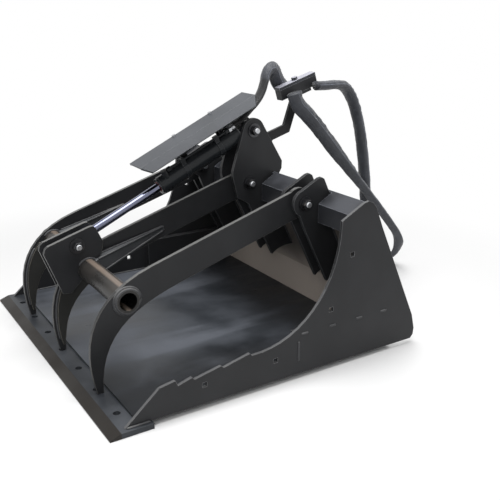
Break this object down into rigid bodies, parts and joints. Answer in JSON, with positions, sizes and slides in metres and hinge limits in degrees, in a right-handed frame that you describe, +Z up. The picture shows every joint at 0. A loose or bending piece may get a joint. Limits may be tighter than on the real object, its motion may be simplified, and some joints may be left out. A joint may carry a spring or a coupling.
{
  "type": "skid steer bucket",
  "caption": "Grapple bucket for a compact skid steer: flat-floored bucket with a hydraulic three-tine grapple hinged above it, cylinder guard and sleeved hoses.",
  "frame": {"origin": "centre of the bucket's box on the ground, without the hose tails", "axes": "+X across the bucket to its left side seen from behind the cutting edge, -Y towards the cutting edge, +Z up"},
  "size_m": [1.118, 1.569, 0.8912],
  "materials": {
    "black_paint": "satin",
    "zinc": "zinc plated",
    "dark_steel": "dull",
    "bronze": "plain bush",
    "chrome": "ground chrome",
    "seal": "matte",
    "sleeve": "woven sleeve"
  },
  "bodies": {
    "root": {"cutting_edge": "black_paint", "floor_sheet": "black_paint", "back_sheet": "black_paint", "side_plate_left": "black_paint", "side_plate_right": "black_paint", "corner_boxes": "black_paint", "top_rail": "black_paint", "ear_left_outer": "black_paint", "ear_left_inner": "black_paint", "ear_mid_left": "black_paint", "ear_mid_right": "black_paint", "ear_right_inner": "black_paint", "ear_right_outer": "black_paint", "coupler_plate": "black_paint", "coupler_lip": "black_paint", "coupler_ledge": "black_paint", "back_ribs": "black_paint", "wear_runners": "black_paint", "hinge_bolts": "zinc", "hinge_nuts": "dark_steel", "hinge_washers": "dark_steel", "base_bolt": "zinc", "base_nut": "dark_steel", "base_washers": "dark_steel", "hose_bracket": "black_paint", "clamp_block": "black_paint", "clamp_cap": "black_paint", "hose_tails": "sleeve", "hose_couplers": "zinc"},
    "grapple": {"arm_left": "black_paint", "arm_middle": "black_paint", "arm_right": "black_paint", "cross_tube": "black_paint", "tube_collars": "black_paint", "tine_plates": "black_paint", "arm_gussets": "black_paint", "clevis_left": "black_paint", "clevis_right": "black_paint", "hinge_hubs": "black_paint", "hinge_bushes": "bronze", "rod_pin_ends": "zinc", "rod_pin_washers": "dark_steel"},
    "barrel": {"barrel": "black_paint", "barrel_base": "black_paint", "base_bush": "bronze", "gland": "black_paint", "rod_wiper": "seal", "port_bosses": "black_paint", "hard_line": "black_paint", "hose_fittings": "zinc", "barrel_clamps": "black_paint", "guard": "black_paint", "guard_posts": "black_paint", "guard_bolts": "zinc", "jumper_sleeve": "sleeve"},
    "rod": {"rod": "chrome", "piston": "dark_steel", "rod_eye": "black_paint", "rod_bush": "bronze", "rod_pin": "zinc"}
  },
  "joints": [
    {"name": "grapple_hinge", "type": "hinge", "parent": "root", "child": "grapple", "pos_m": [0, 0.209, 0.49], "axis": [-1, 0, 0], "range_deg": [0, 60]},
    {"name": "barrel_hinge", "type": "hinge", "parent": "root", "child": "barrel", "pos_m": [0, 0.227, 0.672], "axis": [-1, 0, 0], "range_deg": [0, 60], "deforming": ["jumper_sleeve"]},
    {"name": "rod_slide", "type": "slide", "parent": "barrel", "child": "rod", "axis": [0, 0.9046, 0.4264], "range_m": [0, 0.185]}
  ],
  "couplings": [
    {"joint": "barrel_hinge", "follows": "grapple_hinge", "ratio": 0.995},
    {"joint": "rod_slide", "follows": "grapple_hinge", "m_per_rad": 0.17462}
  ]
}
